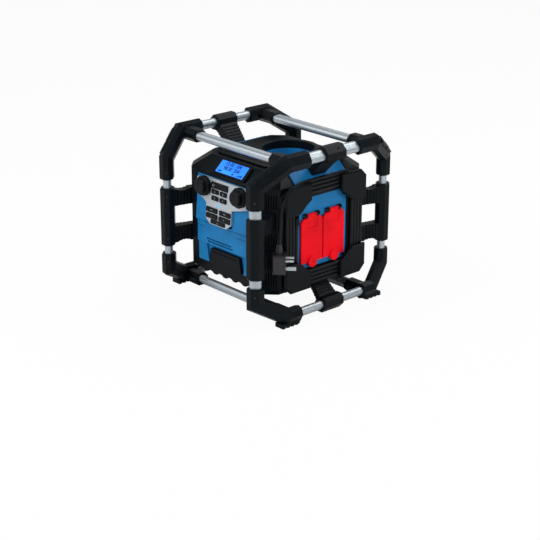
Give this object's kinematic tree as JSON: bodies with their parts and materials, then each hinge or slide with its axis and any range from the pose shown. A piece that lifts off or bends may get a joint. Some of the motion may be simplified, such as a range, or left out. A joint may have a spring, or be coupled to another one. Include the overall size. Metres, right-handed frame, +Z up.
{
  "type": "jobsite radio",
  "caption": "Rugged jobsite radio: box housing held by ribbed shock arms in a tubular roll cage, with tuning knobs, push buttons, lidded outlets and a mains cord wound on cleats.",
  "frame": {"origin": "middle of the footprint, on the surface the feet stand on", "axes": "+Z up, -Y out of the control face, +X out of the outlet side"},
  "size_m": [0.4098, 0.431, 0.3941],
  "materials": {
    "tube_aluminium": "brushed, fine lengthwise grooves",
    "cage_moulding": "fine moulded grain",
    "panel_blue": "satin",
    "plate_silver": "satin silver",
    "button_black": "satin",
    "knob_black": "satin",
    "lid_red": "satin",
    "cord_rubber": "matte",
    "pin_steel": "plain",
    "plug_brass": "polished",
    "display_blue": "lit from behind",
    "light_blue": "clear lens",
    "board_green": "solder mask",
    "battery_case": "plain",
    "speaker_cone": "paper cone, rubber edge",
    "outlet_black": "satin",
    "housing_black": "fine moulded grain"
  },
  "bodies": {
    "chassis": {"base_skirt": "housing_black", "battery_pack": "battery_case", "bottom_front_elbows": "cage_moulding", "bottom_front_tube": "tube_aluminium", "bottom_rear_elbows": "cage_moulding", "bottom_rear_tube": "tube_aluminium", "bottom_side_clamps": "cage_moulding", "bottom_side_rails": "tube_aluminium", "control_board": "board_green", "control_plate": "plate_silver", "cord_cleats": "housing_black", "cord_frame": "housing_black", "cord_tail": "cord_rubber", "cord_winding": "cord_rubber", "corner_posts": "tube_aluminium", "corner_speakers": "speaker_cone", "display_frame": "housing_black", "display_window": "display_blue", "door_hinges": "pin_steel", "front_left_sleeve": "cage_moulding", "front_panel": "panel_blue", "front_right_sleeve": "cage_moulding", "housing_frame": "housing_black", "left_panel": "panel_blue", "lid_hinge_pins": "pin_steel", "lid_knuckles": "housing_black", "outlet_panel": "panel_blue", "outlet_sockets": "outlet_black", "plug_body": "outlet_black", "plug_pins": "plug_brass", "port_bowl": "panel_blue", "port_collar": "housing_black", "rear_left_sleeve": "cage_moulding", "rear_panel": "panel_blue", "rear_right_sleeve": "cage_moulding", "status_light": "light_blue", "subwoofer": "speaker_cone", "subwoofer_cover": "housing_black", "top_front_elbows": "cage_moulding", "top_front_handle": "tube_aluminium", "top_rear_elbows": "cage_moulding", "top_rear_handle": "tube_aluminium", "top_side_clamps": "cage_moulding", "top_side_rails": "tube_aluminium"},
    "display_button": {"display_button": "button_black"},
    "equalizer_button": {"equalizer_button": "button_black"},
    "menu_button": {"menu_button": "button_black"},
    "playback_button": {"playback_button": "button_black"},
    "power_button": {"power_button": "button_black"},
    "preset_1_button": {"preset_1_button": "button_black"},
    "preset_2_button": {"preset_2_button": "button_black"},
    "preset_3_button": {"preset_3_button": "button_black"},
    "preset_4_button": {"preset_4_button": "button_black"},
    "source_button": {"source_button": "button_black"},
    "left_knob": {"left_knob": "knob_black"},
    "right_knob": {"right_knob": "knob_black"},
    "outlet_lid_front": {"outlet_lid_front": "lid_red"},
    "outlet_lid_rear": {"outlet_lid_rear": "lid_red"},
    "media_door": {"media_door": "housing_black"},
    "battery_door": {"battery_door": "housing_black"}
  },
  "joints": [
    {"name": "display_button_press", "type": "slide", "parent": "chassis", "child": "display_button", "axis": [0, 0.9962, -0.0872], "range_m": [0, 0.001], "stiffness_N_per_m": 400, "springref_m": -0.0005},
    {"name": "equalizer_button_press", "type": "slide", "parent": "chassis", "child": "equalizer_button", "axis": [0, 0.9962, -0.0872], "range_m": [0, 0.001], "stiffness_N_per_m": 400, "springref_m": -0.0005},
    {"name": "menu_button_press", "type": "slide", "parent": "chassis", "child": "menu_button", "axis": [0, 0.9962, -0.0872], "range_m": [0, 0.001], "stiffness_N_per_m": 400, "springref_m": -0.0005},
    {"name": "playback_button_press", "type": "slide", "parent": "chassis", "child": "playback_button", "axis": [0, 0.9962, -0.0872], "range_m": [0, 0.001], "stiffness_N_per_m": 400, "springref_m": -0.0005},
    {"name": "power_button_press", "type": "slide", "parent": "chassis", "child": "power_button", "axis": [0, 0.9962, -0.0872], "range_m": [0, 0.001], "stiffness_N_per_m": 400, "springref_m": -0.0005},
    {"name": "preset_1_button_press", "type": "slide", "parent": "chassis", "child": "preset_1_button", "axis": [0, 0.9962, -0.0872], "range_m": [0, 0.001], "stiffness_N_per_m": 400, "springref_m": -0.0005},
    {"name": "preset_2_button_press", "type": "slide", "parent": "chassis", "child": "preset_2_button", "axis": [0, 0.9962, -0.0872], "range_m": [0, 0.001], "stiffness_N_per_m": 400, "springref_m": -0.0005},
    {"name": "preset_3_button_press", "type": "slide", "parent": "chassis", "child": "preset_3_button", "axis": [0, 0.9962, -0.0872], "range_m": [0, 0.001], "stiffness_N_per_m": 400, "springref_m": -0.0005},
    {"name": "preset_4_button_press", "type": "slide", "parent": "chassis", "child": "preset_4_button", "axis": [0, 0.9962, -0.0872], "range_m": [0, 0.001], "stiffness_N_per_m": 400, "springref_m": -0.0005},
    {"name": "source_button_press", "type": "slide", "parent": "chassis", "child": "source_button", "axis": [0, 0.9962, -0.0872], "range_m": [0, 0.001], "stiffness_N_per_m": 400, "springref_m": -0.0005},
    {"name": "left_knob_turn", "type": "hinge", "parent": "chassis", "child": "left_knob", "pos_m": [-0.062, -0.15468, 0.27468], "axis": [0, -0.9962, 0.0872], "continuous": true},
    {"name": "right_knob_turn", "type": "hinge", "parent": "chassis", "child": "right_knob", "pos_m": [0.062, -0.15468, 0.27468], "axis": [0, -0.9962, 0.0872], "continuous": true},
    {"name": "outlet_lid_front_hinge", "type": "hinge", "parent": "chassis", "child": "outlet_lid_front", "pos_m": [0.1574, -0.0342, 0.232], "axis": [0, -1, 0], "range_deg": [0, 110], "stiffness_Nm_per_rad": 0.03, "springref_deg": -17.19},
    {"name": "outlet_lid_rear_hinge", "type": "hinge", "parent": "chassis", "child": "outlet_lid_rear", "pos_m": [0.1574, 0.0342, 0.232], "axis": [0, -1, 0], "range_deg": [0, 110], "stiffness_Nm_per_rad": 0.03, "springref_deg": -17.19},
    {"name": "media_door_hinge_turn", "type": "hinge", "parent": "chassis", "child": "media_door", "pos_m": [0, -0.046, 0.3386], "axis": [-1, 0, 0], "range_deg": [0, 100]},
    {"name": "battery_door_hinge_turn", "type": "hinge", "parent": "chassis", "child": "battery_door", "pos_m": [0, 0.1543, 0.104], "axis": [-1, 0, 0], "range_deg": [0, 95]}
  ]
}
